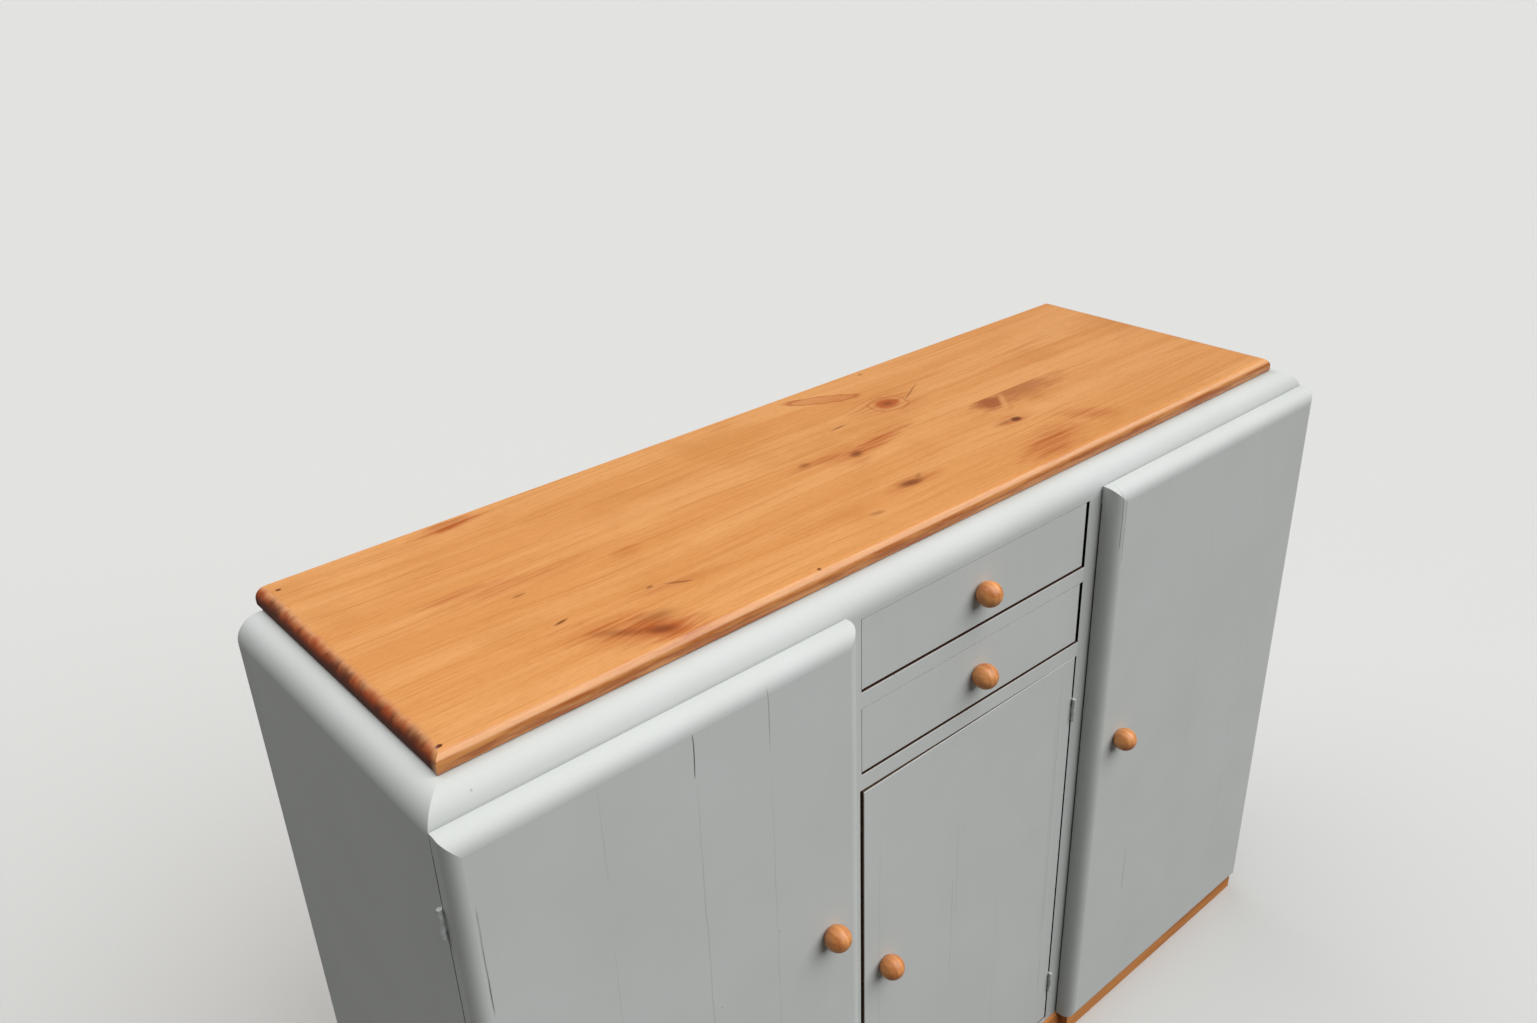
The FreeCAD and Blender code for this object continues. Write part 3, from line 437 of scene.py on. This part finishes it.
def brushed_paint(name, cracks=(), dark_edge=None, dark_edge_code=GAP_SHADE_WOOD, shade_fades_above=None,
                  bare_within=None):
    """Satin furniture paint in a pale duck-egg grey, brushed on by hand over pine: an even, cool
    near-white with a faint sheen, upright brush marks, a few specks and hairline cracks.

    dark_edge gives the two y between which the edges show old wood instead of paint, dark_edge_code
    its colour near the front, darkened there on most pieces as painted shade of the gap or seam, and
    shade_fades_above the height above which that dark band is faded to 0.3. Wood nearer the middle
    of the object than bare_within is bare, as on the inner face of a side panel.
    """
    material, tree = new_material(name)
    place = add(tree, "TexCoord").outputs["Object"]
    parts = add(tree, "SeparateXYZ", {"Vector": place})
    upright = add(tree, "Mapping", {"Vector": place, "Rotation": (0, math.radians(90), 0)})
    brush = streaks(tree, upright, 150 * MM, 2.5 * MM, 2.0, 2.2)
    cloud = add(tree, "TexNoise", {"Vector": place, "Scale": 1 / (130 * MM), "Detail": 2.0})
    tone = add(tree, "Math", {0: brush, 1: 0.30, 2: cloud}, operation="MULTIPLY_ADD")
    ground = add(tree, "Mix", {"Factor": ramp(tree, tone, 0.45, 0.95), "A": linear("#C2C5C3"),
                               "B": linear("#BEC1BE")}, data_type="RGBA")
    # A few small specks of dirt
    speck = add(tree, "TexVoronoi", {"Vector": place, "Scale": 1 / (75 * MM), "Randomness": 1.0})
    speck_share = ramp(tree, speck.outputs["Distance"], 0.022, 0.010, 0.45)
    ground = tinted(tree, speck_share, ground, "#6E6F68")
    height = add(tree, "Math", {0: brush, 1: 0.05}, operation="MULTIPLY")
    if cracks:
        crack = hairlines(tree, place, cracks)
        ground = tinted(tree, crack, ground, "#40413A")
        height = add(tree, "Math", {0: height, 1: crack}, operation="SUBTRACT")
    # Old bare wood on the edges, painted darker near the front as the shade of the gaps and seams
    if dark_edge:
        bare, edge_colour = edge_wood_and_shade(tree, parts, dark_edge, dark_edge_code, shade_fades_above)
        ground = add(tree, "Mix", {"Factor": bare, "A": ground, "B": edge_colour}, data_type="RGBA")
    if bare_within:
        wood = pine_pattern(tree, place, *BARE_PINE, along_z)[0]
        from_centre = add(tree, "Math", {0: parts.outputs["X"]}, operation="ABSOLUTE")
        inner = add(tree, "Math", {0: from_centre, 1: bare_within}, operation="LESS_THAN")
        ground = add(tree, "Mix", {"Factor": inner, "A": ground, "B": wood}, data_type="RGBA")
    finish_surface(tree, height, ground, PAINT_ROUGHNESS, specular=PAINT_SPECULAR, bump_height=0.06 * MM)
    return material


# Metal and plastic

def worn_metal(name, bright, dull, roughness, metallic, grit):
    """Stamped or turned metal with a dull film: two close tones in patches grit millimetres wide."""
    material, tree = new_material(name)
    place = add(tree, "TexCoord").outputs["Object"]
    film = add(tree, "TexNoise", {"Vector": place, "Scale": 1 / (grit * MM), "Detail": 4.0})
    share = add(tree, "MapRange", {"Value": film, "From Min": 0.4, "From Max": 0.65})
    colour = add(tree, "Mix", {"Factor": share, "A": linear(bright), "B": linear(dull)}, data_type="RGBA")
    finish_surface(tree, film, colour, roughness, metallic=metallic, bump_height=0.05 * MM)
    return material


# Which finish goes where

# Hairline cracks over board joints: x from the middle, lower and upper end above the floor, in
# millimetres, and how clear they are
LEFT_CRACKS = [
    (-445.5, 866, 921, 1.0),
    (-444.5, 260, 880, 0.22),
    (-352, 845, 930, 0.45),
    (-352, 60, 870, 0.14),
    (-552, 800, 918, 0.16),
    (-554, 60, 760, 0.12),
    (-682, 730, 866, 0.85),
    (-682, 60, 730, 0.15),
]
RIGHT_CRACKS = [
    (329.5, 230, 315, 0.55),
    (234, 850, 940, 0.70),
    (240, 830, 930, 0.60),
    (460, 60, 900, 0.08),
    (590, 60, 900, 0.08),
]
CENTRE_CRACKS = [
    (171, 60, 695, 0.30),
    (166, 160, 660, 0.18),
    (-34, 300, 470, 0.22),
    (-26, 380, 560, 0.15),
    (-168, 80, 640, 0.12),
    (60, 60, 400, 0.10),
]
# The seam beside the outer doors, drawn as a near-black band of painted shade on their edges, and how thin
# a layer the paint of the rear faces is
SEAM = 1.0 * MM
SEAM_SHADE_CODE = "#15110D"
PAINTED_BACK = 0.03 * MM


def seam_shade_band(node):
    """The stretch of an outer door's edges, just before its rear face, painted near-black as the shade of
    the seam.
    """
    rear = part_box(node)[1].y
    return rear - SEAM, rear - PAINTED_BACK


def behind_arris(node, depth):
    """The stretch of a flush piece's edges from just behind its front arris to its rear face."""
    low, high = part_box(node)
    return low.y + depth, high.y - PAINTED_BACK


# The same paint on every piece. What differs is where its edges show the old wood, and how dark: the
# darkest of these colours are painted shade of the gaps
paint = brushed_paint("duck_egg_paint")
door_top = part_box("left_door_boards")[1].z
# The outer doors carry the painted shade of the seam on their edges, faded near their tops
left_paint = brushed_paint("duck_egg_paint_left_door", LEFT_CRACKS, seam_shade_band("left_door_boards"),
                           SEAM_SHADE_CODE, door_top - 3 * MM)
right_paint = brushed_paint("duck_egg_paint_right_door", RIGHT_CRACKS, seam_shade_band("right_door_boards"),
                            SEAM_SHADE_CODE, door_top - 3 * MM)
centre_paint = brushed_paint("duck_egg_paint_centre_door", CENTRE_CRACKS,
                             behind_arris("centre_door_boards", 0.8 * MM), "#66503F")
front_paint = brushed_paint("duck_egg_paint_drawer_fronts", (),
                            behind_arris("upper_drawer_front", 0.7 * MM))
rail_paint = brushed_paint("duck_egg_paint_rails", (), behind_arris("drawer_rail_upper", 0.5 * MM),
                           "#43261A")
left_stile_paint = brushed_paint("duck_egg_paint_left_stile", (), behind_arris("stile_left", 0.6 * MM),
                                 "#453E34")
# Near-black edge: painted shade of the gap beside the centre door
right_stile_paint = brushed_paint("duck_egg_paint_right_stile", (), behind_arris("stile_right", 0.2 * MM),
                                  "#100C08")
# Painted outside and bare inside
inner_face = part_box("side_panel_right")[0].x + PAINTED_BACK
side_paint = brushed_paint("duck_egg_paint_sides", bare_within=inner_face)

pine_top = pine_top_wax()
# Waxed pine turned on a lathe: smooth orange-brown with fine grain and a soft highlight
knob_pine = plain_pine("waxed_turned_pine", "#E0995A", "#A85C28", along_y,
                       roughness=0.38, specular=0.5, line_spacing=7)
# Waxed pine of the plinth: the same brown but duller, with the grain along each board
plinth_pine = plain_pine("waxed_pine_plinth", "#D08A4C", "#A8632C", along_x, roughness=0.5, specular=0.3)
plinth_sides = plain_pine("waxed_pine_plinth_sides", "#D08A4C", "#A8632C", along_y,
                          roughness=0.5, specular=0.3)
# Planed pine with no finish: pale straw and matt, with the grain along each board
bare_pine = plain_pine("bare_pine", *BARE_PINE, along_x, roughness=0.6, specular=0.3)
bare_pine_rearward = plain_pine("bare_pine_rearward", *BARE_PINE, along_y, roughness=0.6, specular=0.3)
bare_pine_upright = plain_pine("bare_pine_upright", *BARE_PINE, along_z, roughness=0.6, specular=0.3)
# Birch plywood: an even biscuit brown with a broad faint figure
ply = plain_pine("birch_plywood", "#CCA47A", "#BD9066", along_x,
                 roughness=0.6, specular=0.3, line_spacing=17)
# Zinc-plated steel screws and plates: plain grey metal gone dull
steel = worn_metal("steel_screws", "#9A9A98", "#7C7A76", roughness=0.4, metallic=1.0, grit=3)
# Steel butt hinges painted over with the doors: near white, rubbed greyer in patches
hinge_paint = worn_metal("painted_steel_worn", "#CCD1D0", "#A8ABA4", roughness=0.40, metallic=0.0, grit=9)
# Turned brass of the ball catch: dull yellow metal
brass = worn_metal("brass", "#B99A5C", "#94763E", roughness=0.35, metallic=1.0, grit=4)
# Moulded plastic cases of the magnetic catches: dark brown, almost even
plastic = worn_metal("brown_moulded_plastic", "#4A2E20", "#3C251A", roughness=0.45, metallic=0.0, grit=2)

# A node named in BY_NODE has one finish. Every other piece takes a finish for each CAD material
BY_SLOT = {
    "painted_wood": paint,
    "waxed_pine": plinth_pine,
    "turned_pine": knob_pine,
    "bare_pine": bare_pine,
    "plywood": ply,
    "painted_steel": hinge_paint,
    "steel_screws": steel,
    "steel_plate": steel,
    "brass": brass,
    "catch_plastic": plastic,
}
BY_NODE = {
    "pine_top": pine_top,
    "plinth_frame": plinth_sides,
    "side_panel_left": side_paint,
    "side_panel_right": side_paint,
    "left_door_boards": left_paint,
    "left_door_edge_strips": left_paint,
    "right_door_boards": right_paint,
    "right_door_edge_strips": right_paint,
    "centre_door_boards": centre_paint,
    "centre_door_edge_strips": centre_paint,
    "drawer_rail_upper": rail_paint,
    "drawer_rail_lower": rail_paint,
    "door_sill": rail_paint,
    "upper_drawer_front": front_paint,
    "lower_drawer_front": front_paint,
    "stile_left": left_stile_paint,
    "stile_right": right_stile_paint,
    "upper_drawer_sides": bare_pine_rearward,
    "lower_drawer_sides": bare_pine_rearward,
    "drawer_runners": bare_pine_rearward,
    "shelf_cleats": bare_pine_rearward,
    "partition_left": bare_pine_upright,
    "partition_right": bare_pine_upright,
}

for name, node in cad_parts.items():
    for item in node.material_slots:
        cad_material = item.material.name.split(".")[0]
        item.material = BY_NODE.get(name, BY_SLOT.get(cad_material))

# Floor: pale to the eye, in part to gloss, and dull grey for the light that it throws back
FLOOR_SEEN = "#C4C4C2"
FLOOR_THROWN_BACK = "#5E5E5C"
FLOOR_REACH = 40.0
floor_mesh = bpy.data.meshes.new("floor")
floor_mesh.from_pydata([(-FLOOR_REACH, -FLOOR_REACH, floor_z), (FLOOR_REACH, -FLOOR_REACH, floor_z),
                        (FLOOR_REACH, FLOOR_REACH, floor_z), (-FLOOR_REACH, FLOOR_REACH, floor_z)],
                       [], [(0, 1, 2, 3)])
floor = bpy.data.objects.new("floor", floor_mesh)
bpy.context.scene.collection.objects.link(floor)


# How much of the pale surroundings mirrored rays see, because only part of what is round it is pale
GLOSS_SHARE = 0.2


def seen_directly(tree):
    """1 for rays from the camera and refracted ones, GLOSS_SHARE for mirrored ones, and 0 for
    scattered light."""
    path = add(tree, "LightPath")
    mirrored = add(tree, "Math", {0: path.outputs["Is Glossy Ray"], 1: GLOSS_SHARE}, operation="MULTIPLY")
    return larger(tree, [path.outputs["Is Camera Ray"], mirrored, path.outputs["Is Transmission Ray"]])


material, tree = new_material("floor_sheet")
seen = seen_directly(tree)
tint = add(tree, "Mix", {"Factor": seen, "A": linear(FLOOR_THROWN_BACK), "B": linear(FLOOR_SEEN)},
           data_type="RGBA")
shader = add(tree, "BsdfDiffuse", {"Color": tint})
add(tree, "OutputMaterial", {"Surface": shader})
floor_mesh.materials.append(material)

# Stray light from all round: weak for the object, pale to the eye
STRAY_LEVEL = 0.01
BACKDROP_LEVEL = 0.8
world = bpy.data.worlds.new("soft_surroundings")
bpy.context.scene.world = world
world.use_nodes = True
world.node_tree.nodes.clear()
seen = seen_directly(world.node_tree)
level = add(world.node_tree, "MapRange", {"Value": seen, "To Min": STRAY_LEVEL, "To Max": BACKDROP_LEVEL})
sky = add(world.node_tree, "Background", {"Color": linear("#FFFFFF"), "Strength": level})
add(world.node_tree, "OutputWorld", {"Surface": sky})


def soft_lamp(name, toward, level, spread):
    """A lamp so far off that it lights everything alike, as wide to the eye as spread degrees. At
    level 1 a white face square to it renders white."""
    lamp = bpy.data.lights.new(name, "SUN")
    lamp.energy = math.pi * level
    lamp.angle = math.radians(spread)
    lamp_object = bpy.data.objects.new(name, lamp)
    lamp_object.rotation_euler = Vector(toward).to_track_quat("Z", "Y").to_euler()
    bpy.context.scene.collection.objects.link(lamp_object)


# The open sky overhead and the brighter part of it on the right in front, as fitted to the photo
soft_lamp("open_sky", (-0.29, 0.35, 1.0), level=0.60, spread=63)
soft_lamp("bright_cloud", (0.545, -0.79, 1.0), level=1.11, spread=66)
# A weak fill for the back, which the photo doesn't show
soft_lamp("fill_from_behind", (0.0, 1.0, 0.0), level=0.42, spread=30)

# Camera, where the photograph was taken from
CAMERA_PLACE = Vector((-1.01243, face_y - 0.8177, 1.63422))
CAMERA_TURN = Vector((1.06755, -0.36769, -0.66353))
camera_data = bpy.data.cameras.new("camera")
camera_data.lens = 30.0
camera_data.sensor_width = 36.0
camera_data.clip_end = 200.0
camera = bpy.data.objects.new("camera", camera_data)
camera.location = CAMERA_PLACE
camera.rotation_mode = "QUATERNION"
camera.rotation_quaternion = Quaternion(CAMERA_TURN.normalized(), CAMERA_TURN.length)
bpy.context.scene.collection.objects.link(camera)
bpy.context.scene.camera = camera

bpy.context.scene.view_settings.view_transform = "Standard"
